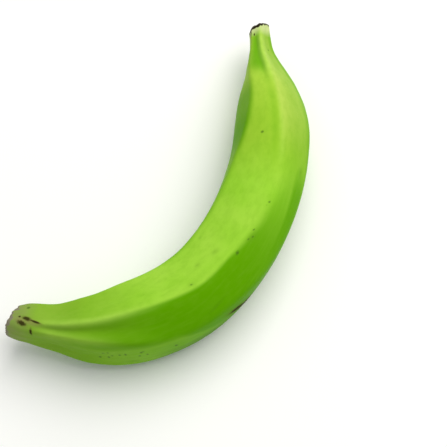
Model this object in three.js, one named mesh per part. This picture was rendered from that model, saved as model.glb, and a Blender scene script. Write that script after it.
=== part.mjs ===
// A green plantain lying on its side on a table.
//
// The whole fruit is one closed body. A five-sided section is swept along a level, curved centreline,
// from the thick cut stalk to the bottle neck that ends in the blossom scar. The long belly is flush
// with the table.
//
// Millimetres, +Z up. The ends lie on a line along +X with the stalk at -X, the bulging side faces -Y,
// and the origin is on the table, under the middle of the bounding box.

import * as THREE from 'three';

// Driving dimensions
const LENGTH = 291;            // along the centreline, from the stalk cut to the blossom scar
const SECTION_POWER = 16;      // the higher, the sharper the edges between two faces
const RIDGE_REACH = 1.045;     // how far the sharp corners stand out, as a share of the radius
const BELLY_SAG = 4;           // most that the centreline sinks to bring the belly onto the table
const FLUSH_GAP = 0.45;        // skin that is nearer the table than this lies flat on it
const STALK_SLANT = 14;        // degrees that the stalk cut leans, short on the inner side
const SCAR_SLANT = 24;         // degrees that the blossom scar leans, short on the inner side
const SLANT_FADE = 18;         // length over which a slanted end turns square
const CUT_EDGE = 0.8;          // rounded edge of the stalk cut
const CUT_DISH = 0.7;          // depth of the dried hollow in the stalk cut
const SCAR_DOME = 2.2;         // length of the domed blossom end

// Mesh fineness
const RINGS = 58;
const SIDES = 40;

// Along the fruit: [distance from the stalk cut, heading of the centreline in degrees, mean radius]
const STATIONS = [
  [0, -68, 8.6],
  [5, -67, 10.4],
  [12, -65, 11.8],
  [24, -62, 13.7],
  [42, -55, 19.0],
  [62, -40.5, 22.9],
  [80, -32.5, 24.1],
  [98, -20, 24.7],
  [116, -5.5, 24.9],
  [136, 5, 25.1],
  [175, 20, 25.2],
  [203, 29.2, 24.7],
  [223, 36.8, 23.4],
  [243, 40.8, 19.7],
  [257, 41, 14.8],
  [273, 37.5, 8.9],
  [LENGTH, 35, 7.1],
];

// The five ridges: [distance, angle around the section in degrees].
// 0 is the hollow inner side, 90 the top, 180 the bulging outer side and 270 the table.
const RIDGES = [
  [[0, 35], [50, 32], [120, 36], [180, 47], [215, 60], [235, 64], [260, 58], [LENGTH, 50]],
  [
    [0, 103],
    [25, 99],
    [50, 95],
    [80, 97],
    [105, 103],
    [155, 115],
    [180, 115],
    [200, 107],
    [245, 100],
    [LENGTH, 94],
  ],
  [[0, 125], [25, 124], [45, 127], [82, 147], [110, 149], [130, 157], [200, 165], [LENGTH, 168]],
  [[0, 205], [60, 218], [120, 233], [LENGTH, 233]],
  [[0, 310], [60, 309], [120, 307], [LENGTH, 307]],
];

// How angular the section is: [distance, share of the five-sided shape], the rest being a circle.
const ANGULARITY = [
  [0, 0.55],
  [18, 0.85],
  [45, 0.8],
  [75, 0.62],
  [130, 0.52],
  [200, 0.45],
  [235, 0.5],
  [255, 0.7],
  [275, 0.75],
  [LENGTH, 0.5],
];

const radians = THREE.MathUtils.degToRad;

// Smooth curve through [x, y] points: cubic pieces, each point having the slope of the parabola through
// it and its two neighbours.
function smooth(points, x) {
  const slope = (i) => (points[i + 1][1] - points[i][1]) / (points[i + 1][0] - points[i][0]);
  const span = (i) => points[i + 1][0] - points[i][0];
  const last = points.length - 2;
  const tangent = (i) => {
    if (i === 0) return slope(0);
    if (i > last) return slope(last);
    return (slope(i - 1) * span(i) + slope(i) * span(i - 1)) / (span(i) + span(i - 1));
  };
  let i = 0;
  while (i < last && x >= points[i + 1][0]) i += 1;
  const t = (x - points[i][0]) / span(i);
  const rise = slope(i) * span(i);
  const start = tangent(i) * span(i);
  const end = tangent(i + 1) * span(i);
  const square = 3 * rise - 2 * start - end;
  const cube = start + end - 2 * rise;
  return points[i][1] + t * (start + t * (square + t * cube));
}

const headings = STATIONS.map(([distance, heading]) => [distance, heading]);
const radii = STATIONS.map(([distance, , radius]) => [distance, radius]);

// Skin's distance from the centreline at an angle, as a share of the radius. Summed high powers of the
// five faces give a pentagon with rounded edges, which is then mixed with a circle.
function sectionShare(distance, angle) {
  const corners = RIDGES.map((ridge) => radians(smooth(ridge, distance)));
  let sum = 0;
  corners.forEach((corner, i) => {
    const next = i + 1 < corners.length ? corners[i + 1] : corners[0] + 2 * Math.PI;
    const faceDistance = RIDGE_REACH * Math.cos((next - corner) / 2);
    const facing = Math.cos(angle - (corner + next) / 2);
    sum += (Math.max(facing, 0) / faceDistance) ** SECTION_POWER;
  });
  const pentagon = sum ** (-1 / SECTION_POWER);
  return 1 + smooth(ANGULARITY, distance) * (pentagon - 1);
}

// Centreline on the table plane, by adding up short steps along the heading.
const STEP = 0.5;
const centreline = [new THREE.Vector2(0, 0)];
for (let distance = STEP / 2; distance < LENGTH; distance += STEP) {
  const heading = radians(smooth(headings, distance));
  const step = new THREE.Vector2(Math.cos(heading), Math.sin(heading)).multiplyScalar(STEP);
  centreline.push(centreline.at(-1).clone().add(step));
}

function centreAt(distance) {
  const place = Math.min(distance / STEP, centreline.length - 1.001);
  const i = Math.floor(place);
  return centreline[i].clone().lerp(centreline[i + 1], place - i);
}

// One section as points in its own plane: x towards the inner side, y up.
function sectionPoints(distance) {
  const points = [];
  for (let j = 0; j < SIDES; j += 1) {
    const angle = (2 * Math.PI * j) / SIDES;
    const reach = smooth(radii, distance) * sectionShare(distance, angle);
    points.push(new THREE.Vector2(reach * Math.cos(angle), reach * Math.sin(angle)));
  }
  return points;
}

function depthOf(points) {
  return -Math.min(...points.map((point) => point.y));
}

// Rings from end to end, as [distance, scale, push along the centreline]. The first and last shrink to
// the poles. The stalk cut is dished inside a narrow rim, and the blossom end is a quarter of an ellipse
// in outline.
const neckEnd = LENGTH - SCAR_DOME;
const rings = [
  [0, 0, CUT_DISH],
  [0, 0.55, 0.8 * CUT_DISH],
  [0, 0.86, 0.1 * CUT_DISH],
  [0, 0.94, 0],
];
for (let i = 0; i <= RINGS; i += 1) {
  rings.push([CUT_EDGE + ((neckEnd - CUT_EDGE) * i) / RINGS, 1, 0]);
}
for (const bend of [30, 55, 75, 90]) {
  rings.push([neckEnd, Math.cos(radians(bend)), SCAR_DOME * Math.sin(radians(bend))]);
}

const deepest = Math.max(...rings.map(([distance]) => depthOf(sectionPoints(distance))));

// Share of the end's slant that a section takes: all at the end, none past the fade.
function nearEnd(distanceFromEnd) {
  return Math.max(0, 1 - distanceFromEnd / SLANT_FADE) ** 2;
}

function ringVertices([distance, scale, push]) {
  const points = sectionPoints(distance);
  const hover = deepest - depthOf(points);
  const height = deepest - BELLY_SAG * (1 - Math.exp(-hover / BELLY_SAG));
  const heading = radians(smooth(headings, distance));
  const along = new THREE.Vector2(Math.cos(heading), Math.sin(heading));
  const inward = new THREE.Vector2(-along.y, along.x);
  const atStalk = nearEnd(distance);
  const atScar = nearEnd(neckEnd - distance);
  const slant = atStalk * Math.tan(radians(STALK_SLANT)) - atScar * Math.tan(radians(SCAR_SLANT));
  return points.map((point) => {
    const side = point.x * scale;
    const rise = point.y * scale;
    const forward = push + slant * side;
    const plan = centreAt(distance).addScaledVector(inward, side).addScaledVector(along, forward);
    return new THREE.Vector3(plan.x, plan.y, height + rise < FLUSH_GAP ? 0 : height + rise);
  });
}

// Poles are single vertices; between two rings run two triangles per side.
const loops = rings.map(ringVertices);
const positions = [loops[0][0], ...loops.slice(1, -1).flat(), loops.at(-1)[0]];
const farPole = positions.length - 1;
const indices = [];
for (let j = 0; j < SIDES; j += 1) {
  const next = (j + 1) % SIDES;
  indices.push(0, 1 + next, 1 + j);
  for (let i = 0; i < loops.length - 3; i += 1) {
    const near = 1 + i * SIDES;
    const far = near + SIDES;
    indices.push(near + j, near + next, far + next, near + j, far + next, far + j);
  }
  indices.push(farPole, farPole - SIDES + j, farPole - SIDES + next);
}

const geometry = new THREE.BufferGeometry().setFromPoints(positions);
geometry.setIndex(indices);

// Turn the line between the ends onto +X, then bring the middle of the box over the origin.
const chord = centreline.at(-1);
geometry.rotateZ(-Math.atan2(chord.y, chord.x));
geometry.computeBoundingBox();
const middle = geometry.boundingBox.getCenter(new THREE.Vector3());
geometry.translate(-middle.x, -middle.y, -geometry.boundingBox.min.z);
geometry.computeVertexNormals();

// Unripe peel: fresh yellow-green with a low, waxy sheen.
const peel = new THREE.MeshStandardMaterial({ color: '#8cc63f', roughness: 0.45, metalness: 0 });
peel.name = 'green_peel';

const plantain = new THREE.Mesh(geometry, peel);
plantain.name = 'plantain';

const group = new THREE.Group();
group.add(plantain);

export default group;
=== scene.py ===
import bpy
import numpy as np
from mathutils import Matrix, Vector


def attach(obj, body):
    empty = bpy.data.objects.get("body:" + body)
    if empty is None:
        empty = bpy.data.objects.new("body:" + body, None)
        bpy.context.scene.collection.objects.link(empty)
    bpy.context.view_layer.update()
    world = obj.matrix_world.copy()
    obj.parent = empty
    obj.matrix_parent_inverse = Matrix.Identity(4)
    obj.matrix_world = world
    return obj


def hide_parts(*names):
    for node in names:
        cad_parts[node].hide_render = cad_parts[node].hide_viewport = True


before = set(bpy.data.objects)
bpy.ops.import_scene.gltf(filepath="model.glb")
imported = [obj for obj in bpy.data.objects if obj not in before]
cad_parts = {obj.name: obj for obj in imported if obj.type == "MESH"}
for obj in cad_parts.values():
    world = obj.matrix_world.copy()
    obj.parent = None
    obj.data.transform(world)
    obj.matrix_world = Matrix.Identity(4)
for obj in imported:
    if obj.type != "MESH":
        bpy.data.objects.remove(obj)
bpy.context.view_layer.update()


# ---------------------------------------------------------------------------------------------------------
# The fruit's build. A plantain grows as one piece: a five-sided, curved body on a thick stalk, drawn out at
# the other end into a bottle neck that carries the scar of the flower. It was cut from the hand at the stalk
# and lies on its side, its long belly flush with the table.
# ---------------------------------------------------------------------------------------------------------

MM = 0.001
LENGTH = 291.0                 # along the centreline, from the stalk cut to the blossom scar, in mm
CUT_EDGE = 0.8                 # rounded edge of the stalk cut, in mm
SCAR_DOME = 2.2                # length of the domed blossom end, in mm
NECK_END = LENGTH - SCAR_DOME
SECTION_POWER = 16             # the higher, the sharper the edges between two faces
RIDGE_REACH = 1.045            # how far the sharp corners stand out, as a share of the radius

# Along the fruit: distance from the stalk cut, heading of the centreline in degrees, mean radius
STATIONS = [
    (0, -68, 8.6),
    (5, -67, 10.4),
    (12, -65, 11.8),
    (24, -62, 13.7),
    (42, -55, 19.0),
    (62, -40.5, 22.9),
    (80, -32.5, 24.1),
    (98, -20, 24.7),
    (116, -5.5, 24.9),
    (136, 5, 25.1),
    (175, 20, 25.2),
    (203, 29.2, 24.7),
    (223, 36.8, 23.4),
    (243, 40.8, 19.7),
    (257, 41, 14.8),
    (273, 37.5, 8.9),
    (LENGTH, 35, 7.1),
]
HEADING = [(distance, heading) for distance, heading, radius in STATIONS]
RADIUS = [(distance, radius) for distance, heading, radius in STATIONS]

# The five ridges, each as (distance, angle around the section in degrees): 0 is the hollow inner side,
# 90 the top, 180 the bulging outer side and 270 the table.
INNER = [(0, 35), (50, 32), (120, 36), (180, 47), (215, 60), (235, 64), (260, 58), (LENGTH, 50)]
CREST = [
    (0, 103), (25, 99), (50, 95), (80, 97), (105, 103), (155, 112), (180, 110), (200, 106), (245, 100),
    (LENGTH, 94),
]
OUTER = [(0, 125), (25, 124), (45, 127), (82, 147), (110, 149), (130, 157), (200, 165), (LENGTH, 168)]
FOOT_OUT = [(0, 205), (60, 218), (120, 233), (LENGTH, 233)]
FOOT_IN = [(0, 310), (60, 309), (120, 307), (LENGTH, 307)]
RIDGES = [INNER, CREST, OUTER, FOOT_OUT, FOOT_IN]

# How angular the section is: distance, share of the five-sided shape, the rest being a circle
ANGULARITY = [
    (0, 0.55), (18, 0.85), (45, 0.8), (75, 0.62), (130, 0.52), (200, 0.45), (235, 0.5), (255, 0.7),
    (275, 0.75), (LENGTH, 0.5),
]


def smooth(points, x):
    """Smooth curve through points: between two neighbours y0 + t (a + t (b + t c)), the cubic whose slope at
    each point is that of the parabola through the point and its two neighbours."""
    px, py = np.array(points, float).T
    span = np.diff(px)
    slope = np.diff(py) / span
    between = (slope[:-1] * span[1:] + slope[1:] * span[:-1]) / (span[1:] + span[:-1])
    tangent = np.concatenate([slope[:1], between, slope[-1:]])
    i = np.clip(np.searchsorted(px, x, side="right") - 1, 0, len(span) - 1)
    t = (x - px[i]) / span[i]
    rise = slope[i] * span[i]
    start = tangent[i] * span[i]
    end = tangent[i + 1] * span[i]
    return py[i] + t * (start + t * ((3 * rise - 2 * start - end) + t * (start + end - 2 * rise)))


def section_share(s, angle):
    """Skin's distance from the centreline as a share of the radius. Over the five faces, the sum of
    (cos(angle - facing) / distance) to a high power, rooted and inverted, is a pentagon with rounded edges;
    it is mixed with a circle."""
    corners = np.array([np.radians(smooth(ridge, s)) for ridge in RIDGES])
    following = np.concatenate([corners[1:], corners[:1] + 2 * np.pi])
    total = 0
    for near, far in zip(corners, following):
        distance = RIDGE_REACH * np.cos((far - near) / 2)
        facing = np.cos(angle - (near + far) / 2)
        total = total + (np.maximum(facing, 0) / distance) ** SECTION_POWER
    return 1 + smooth(ANGULARITY, s) * (total ** (-1 / SECTION_POWER) - 1)


# Grid over the whole surface: rings from the pole of the stalk cut, over its rim, along the skin and over the
# blossom scar to its pole, each ring with the same number of points around.
SIDES = 216
CUT_RINGS = 26
SKIN_RINGS = 384
SCAR_RINGS = 18


def graded(count, ends):
    """Numbers from 0 to 1 that crowd towards both ends: t minus ends * sin(2 pi t) / (2 pi)."""
    t = np.linspace(0, 1, count)
    return t - ends * np.sin(2 * np.pi * t) / (2 * np.pi)


cut_share = np.linspace(0, 0.97, CUT_RINGS)
scar_share = np.linspace(1, 0, SCAR_RINGS + 1)[1:]
ring_s = np.concatenate([
    np.zeros(CUT_RINGS),
    CUT_EDGE + (NECK_END - CUT_EDGE) * graded(SKIN_RINGS, 0.55),
    np.full(SCAR_RINGS, NECK_END),
])
ring_share = np.concatenate([cut_share, np.ones(SKIN_RINGS), scar_share])
on_cut = (np.arange(len(ring_s)) < CUT_RINGS)[:, None]
on_scar = (np.arange(len(ring_s)) >= CUT_RINGS + SKIN_RINGS)[:, None]
on_skin = ~(on_cut | on_scar)

# s is the distance from the stalk cut, share how far a point is out from the middle of its section, and angle
# how far around.
s = ring_s[:, None]
share = ring_share[:, None]
angle = np.linspace(0, 2 * np.pi, SIDES, endpoint=False)[None, :]
radius = smooth(RADIUS, s)

# The same surface with its curve and taper taken out, as a straight rod in mm. Every pattern on the fruit is
# drawn on it, because fibres, folds and freckles follow the fruit and not the room.
rod = np.stack([
    radius * share * np.cos(angle),
    radius * share * np.sin(angle),
    np.broadcast_to(s, (len(ring_s), SIDES)),
], axis=-1)


def window(x, start, full, until, end):
    """0 before start, 1 from full to until, 0 after end, with smoothstep flanks t t (3 - 2 t)."""
    up = np.clip((x - start) / (full - start), 0, 1)
    down = np.clip((end - x) / (end - until), 0, 1)
    return up * up * (3 - 2 * up) * down * down * (3 - 2 * down)


def ripples(points, shortest, longest, stretch, seed, count=28):
    """Soft random relief of about unit height: a sum of plane waves sin(k . p + phase) whose lengths lie
    between shortest and longest, drawn out along the fruit by stretch."""
    rng = np.random.default_rng(seed)
    way = rng.normal(size=(count, 3))
    way /= np.linalg.norm(way, axis=1, keepdims=True)
    length = shortest * (longest / shortest) ** rng.random(count)
    k = 2 * np.pi * way / length[:, None]
    k[:, 2] /= stretch
    phase = rng.random(count) * 2 * np.pi
    return np.sin(points @ k.T + phase).sum(-1) * np.sqrt(2 / count)


# ---------------------------------------------------------------------------------------------------------
# Relief of the skin. Each ridge is a bundle of fibres under the peel: it stands up as a narrow rib where the
# fruit is thin, and the faces beside it fall in. The plump middle is smooth, with soft lumps and long folds.
# ---------------------------------------------------------------------------------------------------------

def around_from(ridge):
    """Distance along the skin from a ridge, in mm: radius times the angle between, wrapped to half a turn."""
    between = angle - np.radians(smooth(ridge, s))
    return radius * (np.mod(between + np.pi, 2 * np.pi) - np.pi)


def rib(ridge, width, height, beside=0.0):
    """Raised line on a ridge, or the given distance beside it: height * exp(-(distance / width)^2)."""
    return height * np.exp(-((around_from(ridge) - beside) / width) ** 2)


def hollow(near, far, depth):
    """Fallen-in face between two ridges: -depth * sin(pi u)^2, with u 0 at one ridge and 1 at the other. A
    depth below 0 makes the face fuller."""
    start = np.radians(smooth(near, s))
    span = np.mod(np.radians(smooth(far, s)) - start, 2 * np.pi)
    u = np.mod(angle - start, 2 * np.pi) / span
    return np.where(u < 1, -depth * np.sin(np.pi * np.minimum(u, 1)) ** 2, 0)


# Where along the fruit the ribs and hollows are strong.
towards_stalk = window(s, 9, 28, 50, 92)
towards_neck = window(s, 232, 256, 278, LENGTH)
along_shoulder = window(s, 175, 200, 225, 250)
both_thin_ends = window(s, -1, 0, 30, 80) + window(s, 225, 262, 300, 301)

# Ribs on the five ridges, and a groove beside the crest, on its inner side, at the neck and fainter along the
# shoulder.
relief = rib(CREST, 2.6, 0.5 * towards_stalk + 0.45 * towards_neck + 0.04)
relief += rib(OUTER, 3.2, 0.4 * towards_stalk + 0.3 * towards_neck + 0.05)
relief += rib(INNER, 2.8, 0.35 * towards_stalk + 0.25 * towards_neck + 0.05)
relief += rib(FOOT_OUT, 3.0, 0.3 * towards_stalk + 0.3 * towards_neck)
relief += rib(FOOT_IN, 3.0, 0.3 * towards_stalk + 0.3 * towards_neck)
relief += rib(CREST, 2.2, -0.75 * towards_neck - 0.14 * along_shoulder, beside=-3.6)

# Faces that have fallen in between them, deepest between the crest and the outer ridge at the stalk.
relief += hollow(CREST, OUTER, 1.6 * towards_stalk + 0.3 * towards_neck)
relief += hollow(INNER, CREST, 0.6 * towards_stalk + 0.15 * towards_neck)
relief += hollow(OUTER, FOOT_OUT, 0.9 * towards_stalk + 0.5 * towards_neck)
relief += hollow(FOOT_OUT, FOOT_IN, 0.7 * towards_stalk + 0.5 * towards_neck)
relief += hollow(FOOT_IN, INNER, 0.8 * towards_stalk + 0.6 * towards_neck)

# Fuller on the inner side at the stalk cut and around the shoulder, and leaner low on the stalk's outer side.
relief += hollow(FOOT_IN, CREST, -0.9 * window(s, -1, 0, 6, 24) - 0.6 * window(s, 190, 212, 240, 256))
relief += hollow(CREST, FOOT_OUT, -0.6 * window(s, 198, 214, 228, 244))
relief += hollow(OUTER, FOOT_IN, 1.4 * window(s, 0, 12, 44, 76))

# Soft lumps, long folds and a fine unevenness.
relief += 0.14 * ripples(rod, 22, 60, 2.0, seed=3)
relief += (0.014 + 0.06 * both_thin_ends) * ripples(rod, 5, 11, 6.0, seed=5)
relief += 0.016 * ripples(rod, 2.2, 4.5, 3.0, seed=8)


# ---------------------------------------------------------------------------------------------------------
# Marks of growing and handling. Rubs and drops of sap heal as thin corky scabs, dark brown on green, with a
# rubbed tan patch by the stalk. Insect bites leave small specks, most of them on the bulging side of the
# stalk half. Bruises under the skin show as soft, darker green smudges.
# ---------------------------------------------------------------------------------------------------------

# Each mark: distance from the stalk cut in mm, angle around in degrees, length and width in mm, and how far
# it is turned from the run of the fruit towards the outer side, in degrees.
SCABS = [
    (9.9, 92, 5.6, 2.5, 14),
    (14.8, 98, 7.5, 1.3, 14),
    (8.0, 107, 5.6, 2.6, 16),
    (5.6, 88, 1.6, 1.2, 0),
    (13.6, 126, 4.4, 1.3, 84),
    (112.6, 174, 12.0, 4.6, 36),
    (118.0, 184, 10.0, 5.6, 36),
    (176.0, 340, 9.0, 0.8, 6),
    (150.0, 12, 1.6, 1.3, 0),
    (98.0, 350, 2.4, 1.5, 30),
    (168.0, 205, 12.0, 0.9, -7),
    (214.0, 200, 1.6, 1.4, 0),
    (283.6, 46, 5.0, 1.3, 10),
    (282.5, 66, 2.2, 0.9, 0),
]
SPECKS = [
    (8.1, 53, 2.4, 2.0, 0),
    (47.8, 182, 1.4, 3.2, 0),
    (49.6, 160, 1.3, 2.6, 0),
    (51.6, 157, 1.2, 2.4, 0),
    (51.6, 180, 1.4, 3.2, 0),
    (53.2, 172, 1.3, 2.8, 0),
    (56.5, 168, 1.4, 2.8, 0),
    (59.0, 166, 1.3, 4.2, 0),
    (66.0, 163, 1.4, 3.0, 0),
    (67.2, 160, 1.2, 2.6, 0),
    (65.1, 177, 1.4, 3.0, 0),
    (68.7, 175, 1.4, 3.2, 0),
    (82.2, 168, 1.7, 3.4, 0),
    (86.0, 215, 1.8, 1.5, 0),
    (201.4, 82, 2.3, 1.9, 30),
    (128.0, 108, 3.0, 1.8, -20),
    (99.6, 95, 1.3, 1.1, 0),
    (137.0, 110, 1.3, 1.0, 0),
    (139.6, 113, 1.2, 1.0, 0),
    (143.0, 110, 1.1, 0.9, 0),
    (158.6, 111, 1.2, 1.0, 0),
    (160.6, 113, 1.6, 1.3, 0),
    (270.5, 132, 1.6, 1.2, 0),
    (31.0, 12, 1.5, 1.3, 0),
    (143.0, 330, 1.6, 1.4, 0),
    (219.0, 350, 1.7, 1.3, 0),
]
SMUDGES = [
    (112.2, 164, 12.0, 6.0, 24),
    (139.0, 112, 7.0, 3.4, 20),
    (126.0, 50, 2.2, 1.8, 0),
    (122.2, 83, 5.0, 3.2, 10),
    (109.8, 77, 3.4, 2.4, 0),
    (99.9, 95, 3.6, 2.4, 20),
    (104.0, 136, 9.0, 1.4, -14),
    (107.0, 34, 9.0, 2.4, 0),
    (62.0, 200, 6.0, 3.0, 0),
    (186.0, 150, 5.0, 2.6, 0),
    (154.0, 350, 7.0, 3.6, 10),
    (70.0, 20, 6.0, 3.0, 0),
    (240.0, 190, 6.0, 2.8, 0),
]
TAN_PATCH = [(13.0, 101, 9.5, 3.4, 10), (7.0, 100, 6.0, 3.0, 20)]


def spots(marks):
    """Strongest of a list of soft spots, each exp(-(2 u / length)^2 - (2 v / width)^2), with u and v measured
    on the skin along and across the mark."""
    strongest = np.zeros_like(angle * s)
    for distance, around, length, width, turned in marks:
        forth = s - distance
        aside = radius * (np.mod(angle - np.radians(around) + np.pi, 2 * np.pi) - np.pi)
        u = forth * np.cos(np.radians(turned)) + aside * np.sin(np.radians(turned))
        v = aside * np.cos(np.radians(turned)) - forth * np.sin(np.radians(turned))
        strongest = np.maximum(strongest, np.exp(-(2 * u / length) ** 2 - (2 * v / width) ** 2))
    return strongest * on_skin


scab = spots(SCABS)
speck = spots(SPECKS)
smudge = spots(SMUDGES)
tan = spots(TAN_PATCH)

# Scabs stand proud of the skin and bruises have sunk. All relief is set into the fruit, so that it keeps its
# outer size. In mm.
SCAB_STANDS = 0.1
BRUISE_SINKS = 0.05
INSET = 0.35
relief += SCAB_STANDS * scab - BRUISE_SINKS * smudge
reach = radius * section_share(s, angle) + np.where(on_skin, relief - INSET, (relief - INSET) * share)


# ---------------------------------------------------------------------------------------------------------
# Stalk cut. A knife took the fruit off its hand a few days ago: the rim is ragged and has curled a little,
# the wet face has dried and sunk between its tough fibre bundles.
# ---------------------------------------------------------------------------------------------------------

CUT_DISH = 0.9                 # how far the dried face has sunk, in mm
RIM_TEAR = 0.26                # how far the rim is torn in and out
BUNDLE_STANDS = 0.22           # how far the fibre bundles stand up
near_cut = np.clip(1 - s / 5, 0, 1) ** 2
ragged = ripples(rod * [1, 1, 0], 2, 7, 1.0, seed=11)
bundles = ripples(rod * [1, 1, 0], 1.6, 2.8, 1.0, seed=12)
push = near_cut * RIM_TEAR * ragged * window(share, 0.6, 0.95, 2, 3)
dried_face = CUT_DISH * (1 - share ** 4) + BUNDLE_STANDS * bundles * window(share, -1, 0, 0.85, 0.99)
push = push + on_cut * dried_face


# ---------------------------------------------------------------------------------------------------------
# Blossom scar. Where the flower dried and dropped off there is a hard, dark, lumpy crust with a raised broken
# rim, a sunk middle and the stub of the style.
# ---------------------------------------------------------------------------------------------------------

BROKEN_RIM = 0.5               # height of the raised rim, in mm
SUNK_MIDDLE = 0.9              # depth of the middle
STYLE_STUB = 0.7               # height of the stub in it
crumbs = ripples(rod * [1, 1, 0.5], 1.3, 3.0, 1.0, seed=21)
dome = SCAR_DOME * np.sqrt(np.maximum(1 - share ** 2, 0))
broken_rim = BROKEN_RIM * window(share, 0.5, 0.72, 0.85, 1.0) * (0.6 + 0.4 * crumbs)
middle = -SUNK_MIDDLE * window(share, -1, 0, 0.35, 0.62) + STYLE_STUB * window(share, -1, 0, 0.08, 0.2)
push = push + on_scar * (0.85 * dome + broken_rim + middle)


# ---------------------------------------------------------------------------------------------------------
# Lie of the fruit. Its centreline is a curve that bends most in the stalk half. The fruit sags until its long
# belly is flush with the table, and its weight presses the skin flat there. The stalk was cut at a slant, and
# the blossom scar leans too.
# ---------------------------------------------------------------------------------------------------------

BELLY_SAG = 4.0                # most that the centreline sinks to bring the belly onto the table, in mm
STALK_SLANT = 14               # degrees that the stalk cut leans, short on the inner side
SCAR_SLANT = 24                # degrees that the blossom scar leans, short on the inner side
SLANT_FADE = 18.0              # length over which a slanted end turns square, in mm
TABLE_GIVE = 0.8               # height below which the skin is pressed down, in mm
CURVE_STEPS = 2890             # steps that the centreline is added up in, each about 0.1 mm

# The centreline is found by adding up short steps along the heading. It is then turned until both of its ends
# lie on a line along +X.
fine_s = np.linspace(0, LENGTH, CURVE_STEPS + 1)
middle_heading = np.radians(smooth(HEADING, (fine_s[1:] + fine_s[:-1]) / 2))
step = fine_s[1] - fine_s[0]
line_x = np.concatenate([[0], np.cumsum(np.cos(middle_heading) * step)])
line_y = np.concatenate([[0], np.cumsum(np.sin(middle_heading) * step)])
turn = -np.arctan2(line_y[-1], line_x[-1])


def near_end(distance):
    """Share of the end's slant that a section takes: (1 - distance / fade)^2, none past the fade."""
    return np.maximum(0, 1 - distance / SLANT_FADE) ** 2


# Each section hangs at its own depth below the centreline. Where it is thin it hovers over the table, and the
# centreline sinks by sag * (1 - exp(-hover / sag)).
depth = -(radius * section_share(s, angle) * np.sin(angle)).min(axis=1, keepdims=True)
hover = depth.max() - depth
height = depth.max() - BELLY_SAG * (1 - np.exp(-hover / BELLY_SAG))

# Every point is carried to its place: along the centreline, to the side, up, and forward by the slant and by
# what the two ends push out.
heading = np.radians(smooth(HEADING, s)) + turn
side = reach * share * np.cos(angle)
rise = reach * share * np.sin(angle)
slant = near_end(s) * np.tan(np.radians(STALK_SLANT))
slant = slant - near_end(NECK_END - s) * np.tan(np.radians(SCAR_SLANT))
forward = push + slant * side
centre_x = np.interp(s, fine_s, line_x)
centre_y = np.interp(s, fine_s, line_y)
chord_x = centre_x * np.cos(turn) - centre_y * np.sin(turn)
chord_y = centre_x * np.sin(turn) + centre_y * np.cos(turn)
plan_x = chord_x + np.cos(heading) * forward - np.sin(heading) * side
plan_y = chord_y + np.sin(heading) * forward + np.cos(heading) * side
plan_x -= (plan_x.max() + plan_x.min()) / 2
plan_y -= (plan_y.max() + plan_y.min()) / 2

# Skin that comes near the table is pressed onto it: z (1 - exp(-(z / give)^2)).
above = height + rise
above = above - above.min()
above = above * (1 - np.exp(-(above / TABLE_GIVE) ** 2))
surface = np.stack([plan_x, plan_y, above], axis=-1) * MM


def grid_faces(rings, sides):
    """Faces over a closed tube of rings whose first and last ring are single poles: a fan of triangles at
    each pole and four-cornered faces between, all wound to face outwards."""
    j = np.arange(sides)
    after = (j + 1) % sides
    first = np.stack([np.zeros(sides, int), 1 + after, 1 + j], axis=1)
    near = 1 + sides * np.arange(rings - 3)[:, None]
    far = near + sides
    tube = np.stack([near + j, near + after, far + after, far + j], axis=-1).reshape(-1, 4)
    pole = 1 + sides * (rings - 2)
    last = np.stack([np.full(sides, pole), pole - sides + j, pole - sides + after], axis=1)
    return first, tube, last


def per_vertex(values):
    """The grid's values as one row per vertex, with a single row for each pole."""
    values = np.broadcast_to(values, (len(ring_s), SIDES) + values.shape[2:])
    flat = values[1:-1].reshape((-1,) + values.shape[2:])
    return np.concatenate([values[:1, 0], flat, values[-1:, 0]])


def fruit_mesh(name):
    """Mesh of the whole surface, filled in as arrays, with smooth shading."""
    points = per_vertex(surface)
    first, tube, last = grid_faces(len(ring_s), SIDES)
    corners = np.concatenate([first.ravel(), tube.ravel(), last.ravel()])
    sizes = np.concatenate([np.full(len(first), 3), np.full(len(tube), 4), np.full(len(last), 3)])
    mesh = bpy.data.meshes.new(name)
    mesh.vertices.add(len(points))
    mesh.vertices.foreach_set("co", points.ravel())
    mesh.loops.add(len(corners))
    mesh.loops.foreach_set("vertex_index", corners)
    mesh.polygons.add(len(sizes))
    mesh.polygons.foreach_set("loop_start", np.concatenate([[0], np.cumsum(sizes)[:-1]]))
    mesh.polygons.foreach_set("loop_total", sizes)
    mesh.update(calc_edges=True)
    mesh.validate()
    mesh.polygons.foreach_set("use_smooth", np.ones(len(sizes), bool))
    return mesh


def paint(mesh, name, values):
    """Stores grid values on the mesh under a name: one number, or one vector in mm, for each vertex."""
    rows = per_vertex(values)
    kind = "FLOAT_VECTOR" if rows.ndim == 2 else "FLOAT"
    attribute = mesh.attributes.new(name, kind, "POINT")
    attribute.data.foreach_set("vector" if rows.ndim == 2 else "value", rows.astype(np.float32).ravel())


mesh = fruit_mesh("whole_plantain")
plantain = bpy.data.objects.new("whole_plantain", mesh)
bpy.context.scene.collection.objects.link(plantain)
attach(plantain, "root")
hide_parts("plantain")

# What the finishes need to know of each spot: its place on the straight rod, how near a ridge it is,
# how much painted shade or highlight its face takes, how dry it is from the cut, how much blossom crust
# covers it, and the marks. Angles past or before a ridge are in radians.
past_crest = np.mod(angle - np.radians(smooth(CREST, s)) + 0.5, 2 * np.pi) - 0.5
before_crest = np.mod(np.radians(smooth(CREST, s)) - angle, 2 * np.pi)
below_inner = np.mod(np.radians(smooth(INNER, s)) - angle + 0.5, 2 * np.pi) - 0.5
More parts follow.
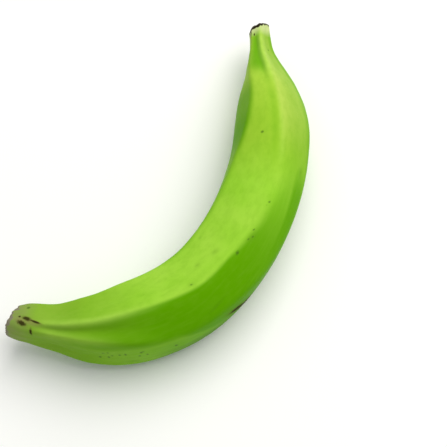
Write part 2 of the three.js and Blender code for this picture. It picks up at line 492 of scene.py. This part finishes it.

# Deep green as painted shade: the outer face from just before the crest, hard-edged in the stalk half, softer
# and fainter towards the shoulder. Also the underside, the inner face, a strip at the neck and a band on the
# outer face, all painted darker as shade.
fading = np.clip((s - 122) / 68, 0, 1)
early = 0.06 + 0.08 * window(s, 100, 128, 150, 180)
broader = 0.75 + 0.8 * np.clip((s - 85) / 35, 0, 1)
outer_face = window(past_crest, -early, 0.11 - early + 0.5 * fading, broader, broader + 0.45)
outer_face = outer_face * (0.55 + 0.45 * window(s, 24, 52, 135, 185)) * (1 - 0.35 * fading)
under_side = (0.7 - 0.25 * window(s, 38, 54, 66, 84)) * window(past_crest, 0.6, 1.1, 3.4, 4.0)
inner_face = 0.4 * window(s, 60, 110, 190, 225) + 0.75 * window(s, 180, 210, 230, 254)
inner_face = inner_face * window(below_inner, -0.16, 0.02, 1.0, 1.6)
neck_face = 0.85 * window(before_crest, 0.0, 0.13, 0.4, 0.95) * window(s, 243, 258, 278, 286)
outer_band = 0.95 * window(past_crest, 0.35, 0.64, 0.84, 1.05) * window(s, 96, 126, 170, 202)
# Painted shade: the faces turned from the light, gathered into one deep green mask.
painted_shade = np.maximum.reduce([outer_face, under_side, inner_face, neck_face, outer_band])

# Painted highlight: a pale green past the crest on the shoulder. Painted shade on the side that faces the
# table, and painted lights and shades along the ridges.
wider = 0.6 + 0.4 * np.clip((s - 245) / 20, 0, 1)
# Painted highlight on the shoulder, past the crest.
painted_highlight = window(past_crest, -0.05, 0.12, wider, wider + 0.7) * window(s, 182, 226, 280, LENGTH)
in_shade = window(np.mod(np.degrees(angle), 360), 172, 190, 330, 345) * window(s, 66, 100, 180, 215)
crest_light = np.exp(-(around_from(CREST) / 2.2) ** 2) * np.clip(towards_stalk + towards_neck, 0, 1)
crest_light += np.exp(-((around_from(CREST) - 1.5) / 1.7) ** 2) * 0.4 * window(s, 178, 194, 212, 240)
outer_light = np.exp(-(around_from(OUTER) / 2.6) ** 2) * window(s, 12, 26, 44, 62)
crest_shade = np.exp(-((around_from(CREST) + 3.0) / 2.0) ** 2) * (0.45 * along_shoulder + 0.8 * towards_neck)

# The dried rim of the stalk cut, and the crust of the blossom end, which reaches further on the inner side.
dry_edge = 1.9 + 0.6 * ragged
dry = np.maximum(window(s, -9, -8, dry_edge - 0.5, dry_edge + 0.5), on_cut)
inner_edge = np.maximum(np.cos(angle - np.radians(25)), 0)
crust_edge = NECK_END - 0.5 - 1.8 * inner_edge + 0.35 * crumbs
crust = window(s, crust_edge - 0.5, crust_edge + 0.4, LENGTH + 9, LENGTH + 10)

painted = {
    "painted_shade": painted_shade,
    "painted_highlight": painted_highlight,
    "in_shade": in_shade,
    "ridge_light": np.maximum(crest_light, 0.6 * outer_light),
    "crest_shade": crest_shade,
    "dry": dry,
    "crust": crust,
    "scab": scab,
    "speck": speck,
    "smudge": smudge,
    "tan": tan,
}
paint(mesh, "rod", rod)
for name, values in painted.items():
    paint(mesh, name, values)


# ---------------------------------------------------------------------------------------------------------
# Peel. Unripe plantain skin: living, waxy, yellow-green where it is full, with faint lengthwise fibres, soft
# mottling and pores. A deeper green is painted on the faces that look sideways as shade, and a paler green
# on the shoulder as a highlight. The wax gives a broad, low sheen.
# ---------------------------------------------------------------------------------------------------------

def linear(colour):
    """sRGB hex to linear red, green, blue and alpha: ((c + 0.055) / 1.055)^2.4, or c / 12.92 when dark."""
    c = np.array([int(colour[i:i + 2], 16) for i in (1, 3, 5)]) / 255
    return (*np.where(c > 0.04045, ((c + 0.055) / 1.055) ** 2.4, c / 12.92), 1.0)


def add(tree, kind, inputs=None, **settings):
    """Adds a node, gives it its settings, and fills its inputs with values or links from other sockets."""
    made = tree.nodes.new(kind)
    for name, value in settings.items():
        setattr(made, name, value)
    for name, value in (inputs or {}).items():
        if isinstance(value, bpy.types.NodeSocket):
            tree.links.new(value, made.inputs[name])
        else:
            made.inputs[name].default_value = value
    return made


def finish(name):
    """A new material with an empty node tree and its output."""
    material = bpy.data.materials.new(name)
    material.use_nodes = True
    material.node_tree.nodes.clear()
    return material, material.node_tree, add(material.node_tree, "ShaderNodeOutputMaterial")


def grow(tree, patterns):
    """Noise patterns on the straight rod, by name. Each has a grain size in mm, how many times longer than
    wide its grains are, a detail and a roughness."""
    place = add(tree, "ShaderNodeAttribute", attribute_name="rod").outputs["Vector"]
    grown = {}
    for name, (size, stretch, detail, roughness) in patterns.items():
        drawn_out = add(tree, "ShaderNodeMapping", {"Vector": place, "Scale": (1, 1, 1 / stretch)})
        grains = {"Vector": drawn_out.outputs[0], "Scale": 1 / size, "Detail": detail, "Roughness": roughness}
        grown[name] = add(tree, "ShaderNodeTexNoise", grains).outputs["Fac"]
    return grown


def layer(tree, base, coats):
    """Colour built up in coats over a base. A coat has the value that places it, the value where it starts
    and the one where it is full, its strength there, and its colour."""
    colour = linear(base)
    for source, start, full, strength, coat in coats:
        cover = add(tree, "ShaderNodeMapRange", {0: source, 1: start, 2: full, 3: 0.0, 4: strength})
        mix = {0: cover.outputs[0], 6: colour, 7: linear(coat)}
        colour = add(tree, "ShaderNodeMix", mix, data_type="RGBA").outputs[2]
    return colour


material, tree, output = finish("waxy_unripe_peel")
pattern = grow(tree, {
    "clouds": (26.0, 1.0, 3, 0.5),
    "mottle": (3.4, 1.8, 4, 0.6),
    "fibres": (1.2, 12.0, 3, 0.5),
    "pores": (0.55, 1.0, 2, 0.5),
    "crumble": (0.9, 1.5, 3, 0.6),
})
spot = {
    name: add(tree, "ShaderNodeAttribute", attribute_name=name).outputs["Fac"]
    for name in painted
}
rod_place = add(tree, "ShaderNodeAttribute", attribute_name="rod").outputs["Vector"]
along = add(tree, "ShaderNodeSeparateXYZ", {0: rod_place}).outputs["Z"]

# The edges of the scabs and of the dried rim are broken up by a crumbly noise about its middle value.
crumbled = {0: pattern["crumble"], 1: 0.9, 2: -0.45}
broken = add(tree, "ShaderNodeMath", crumbled, operation="MULTIPLY_ADD").outputs[0]
ragged_scab = add(tree, "ShaderNodeMath", {0: spot["scab"], 1: broken}, operation="ADD").outputs[0]
ragged_dry = add(tree, "ShaderNodeMath", {0: spot["dry"], 1: broken}, operation="ADD").outputs[0]

# From the living greens along the fruit and the painted shade and highlights by face, to the fine patterns,
# the marks and the two dead ends.
skin = layer(tree, "#93cc34", [
    (pattern["clouds"], 0.38, 0.66, 0.8, "#a3d444"),
    (along, 168.0, 198.0, 0.75, "#90bb2c"),
    (along, 208.0, 236.0, 0.85, "#a2c83e"),
    # Painted highlight: the shoulder past the crest lightened to a pale yellow-green.
    (spot["painted_highlight"], 0.0, 1.0, 0.85, "#b4cc58"),
    (along, 250.0, 262.0, 0.45, "#98bc45"),
    # Painted shade: faces turned from the light darkened to a deep green.
    (spot["painted_shade"], 0.0, 1.2, 1.2, "#5a9c00"),
    (spot["in_shade"], 0.0, 1.0, 0.6, "#44720c"),
    (spot["crest_shade"], 0.0, 1.0, 0.6, "#68ac08"),
    (along, 80.0, 36.0, 0.7, "#78a622"),
    (along, 40.0, 6.0, 0.5, "#85a042"),
    (along, 14.0, 3.0, 0.65, "#8b905a"),
    (along, NECK_END - 8, NECK_END - 3, 0.85, "#ccd498"),
    (spot["ridge_light"], 0.0, 1.0, 0.45, "#b4dc5c"),
    (pattern["mottle"], 0.42, 0.75, 0.28, "#6da61c"),
    (pattern["fibres"], 0.5, 0.8, 0.06, "#a8d24e"),
    (pattern["pores"], 0.3, 0.2, 0.5, "#5d9416"),
    (spot["smudge"], 0.0, 1.2, 0.36, "#527e18"),
    (spot["speck"], 0.25, 0.75, 0.75, "#43621c"),
    (spot["tan"], 0.1, 0.8, 0.5, "#8f8055"),
    (spot["scab"], 0.05, 0.5, 0.5, "#6a6530"),
    (ragged_scab, 0.3, 0.72, 0.92, "#322c10"),
    (ragged_dry, 0.3, 0.8, 1.0, "#85806a"),
    (spot["crust"], 0.2, 0.8, 1.0, "#2b261c"),
])

# Wax leaves a soft sheen that scabs lack, over fibres and pores that are only just raised.
gloss = add(tree, "ShaderNodeMapRange", {0: pattern["mottle"], 1: 0.3, 2: 0.7, 3: 0.4, 4: 0.5}).outputs[0]
dulled = add(tree, "ShaderNodeMath", {0: ragged_scab, 1: 0.35, 2: gloss}, operation="MULTIPLY_ADD").outputs[0]
raised = {0: pattern["fibres"], 1: 0.2, 2: pattern["pores"]}
grain = add(tree, "ShaderNodeMath", raised, operation="MULTIPLY_ADD").outputs[0]
bump = add(tree, "ShaderNodeBump", {"Height": grain, "Strength": 0.22, "Distance": 0.1 * MM})
shader = add(tree, "ShaderNodeBsdfPrincipled", {
    "Base Color": skin,
    "Roughness": dulled,
    "IOR": 1.45,
    "Specular IOR Level": 0.03,
    "Specular Tint": linear("#d8f070"),
    "Normal": bump.outputs[0],
})
tree.links.new(shader.outputs[0], output.inputs["Surface"])
mesh.materials.append(material)


# Dried cut fibre: the open face of the stalk, tan to grey brown, dead matt, with darker bundle ends.
material, tree, output = finish("dried_cut_fibre")
pattern = grow(tree, {"stain": (4.5, 1.0, 4, 0.6), "strands": (0.9, 1.0, 3, 0.6)})
face = layer(tree, "#6b5843", [
    (pattern["stain"], 0.35, 0.65, 1.0, "#9a8a68"),
    (pattern["strands"], 0.5, 0.7, 0.7, "#4a3a2a"),
])
bump = add(tree, "ShaderNodeBump", {"Height": pattern["strands"], "Strength": 0.6, "Distance": 0.4 * MM})
matt = {"Base Color": face, "Roughness": 0.88, "Normal": bump.outputs[0]}
shader = add(tree, "ShaderNodeBsdfPrincipled", matt)
tree.links.new(shader.outputs[0], output.inputs["Surface"])
mesh.materials.append(material)


# Withered crust: what is left of the flower, hard and crumbly, nearly black with grey flakes.
material, tree, output = finish("withered_blossom_crust")
pattern = grow(tree, {"flakes": (1.1, 1.0, 4, 0.65)})
face = layer(tree, "#1d1913", [(pattern["flakes"], 0.4, 0.65, 1.0, "#5b5340")])
bump = add(tree, "ShaderNodeBump", {"Height": pattern["flakes"], "Strength": 0.7, "Distance": 0.5 * MM})
matt = {"Base Color": face, "Roughness": 0.85, "Normal": bump.outputs[0]}
shader = add(tree, "ShaderNodeBsdfPrincipled", matt)
tree.links.new(shader.outputs[0], output.inputs["Surface"])
mesh.materials.append(material)

# The cut face is inside the stalk's rim, the crust is everything past the neck.
ring_of_face = np.concatenate([
    np.zeros(SIDES, int),
    np.repeat(np.arange(1, len(ring_s) - 2), SIDES),
    np.full(SIDES, len(ring_s) - 2),
])
is_cut_face = ring_of_face < CUT_RINGS - 1
is_crust = ring_of_face >= CUT_RINGS + SKIN_RINGS - 1
mesh.polygons.foreach_set("material_index", np.where(is_cut_face, 1, np.where(is_crust, 2, 0)))
mesh.update()


# ---------------------------------------------------------------------------------------------------------
# Studio: a pale seamless floor, one large soft light high up behind the fruit and to the right, and an even
# pale surround that fills the shadows. The camera is a short telephoto that looks down on the lying fruit.
# ---------------------------------------------------------------------------------------------------------

FLOOR_HALF = 4.0               # half the floor's width, in metres
floor_mesh = bpy.data.meshes.new("pale_floor")
floor_corners = [(x * FLOOR_HALF, y * FLOOR_HALF, 0) for x, y in ((-1, -1), (1, -1), (1, 1), (-1, 1))]
floor_mesh.from_pydata(floor_corners, [], [(0, 1, 2, 3)])
floor = bpy.data.objects.new("pale_floor", floor_mesh)
bpy.context.scene.collection.objects.link(floor)

material, tree, output = finish("pale_card")
card = {"Base Color": linear("#fbfbfa"), "Roughness": 0.9, "Specular IOR Level": 0.0}
shader = add(tree, "ShaderNodeBsdfPrincipled", card)
tree.links.new(shader.outputs[0], output.inputs["Surface"])
floor_mesh.materials.append(material)

CAMERA_AZIMUTH = np.radians(-54.7)
CAMERA_ELEVATION = np.radians(65.0)
CAMERA_DISTANCE = 0.591        # from the point it is aimed at, in metres
AIM = Vector((-0.0034, -0.0122, 0.022))
right = Vector((np.cos(CAMERA_AZIMUTH), np.sin(CAMERA_AZIMUTH), 0))
away = Vector((-np.sin(CAMERA_AZIMUTH), np.cos(CAMERA_AZIMUTH), 0))
up = Vector((0, 0, 1))
back = -away * np.cos(CAMERA_ELEVATION) + up * np.sin(CAMERA_ELEVATION)


def looking(eye, target):
    """Placement at eye with -Z towards the target and X level."""
    z = (eye - target).normalized()
    x = up.cross(z).normalized()
    y = z.cross(x)
    return Matrix.Translation(eye) @ Matrix((x, y, z)).transposed().to_4x4()


lens = bpy.data.cameras.new("camera")
lens.lens = 85
lens.sensor_width = 36
lens.clip_start = 0.01
camera = bpy.data.objects.new("camera", lens)
camera.matrix_world = looking(AIM + back * CAMERA_DISTANCE, AIM)
bpy.context.scene.collection.objects.link(camera)
bpy.context.scene.camera = camera


def soft_light(name, place, size, power, colour):
    """Square area light at a place given as right, away and up of the fruit in metres, aimed at it."""
    lamp = bpy.data.lights.new(name, "AREA")
    lamp.shape = "SQUARE"
    lamp.size = size
    lamp.energy = power
    lamp.color = linear(colour)[:3]
    lit = bpy.data.objects.new(name, lamp)
    eye = right * place[0] + away * place[1] + up * place[2]
    lit.matrix_world = looking(eye, Vector((0, 0, 0.02)))
    bpy.context.scene.collection.objects.link(lit)


soft_light("key_softbox", (0.5, 0.5, 1.25), 1.5, 20.5, "#fffdf6")

world = bpy.data.worlds.new("pale_surround")
bpy.context.scene.world = world
world.use_nodes = True
world.node_tree.nodes["Background"].inputs["Color"].default_value = linear("#f8fafc")
world.node_tree.nodes["Background"].inputs["Strength"].default_value = 0.5

bpy.context.scene.view_settings.view_transform = "Standard"
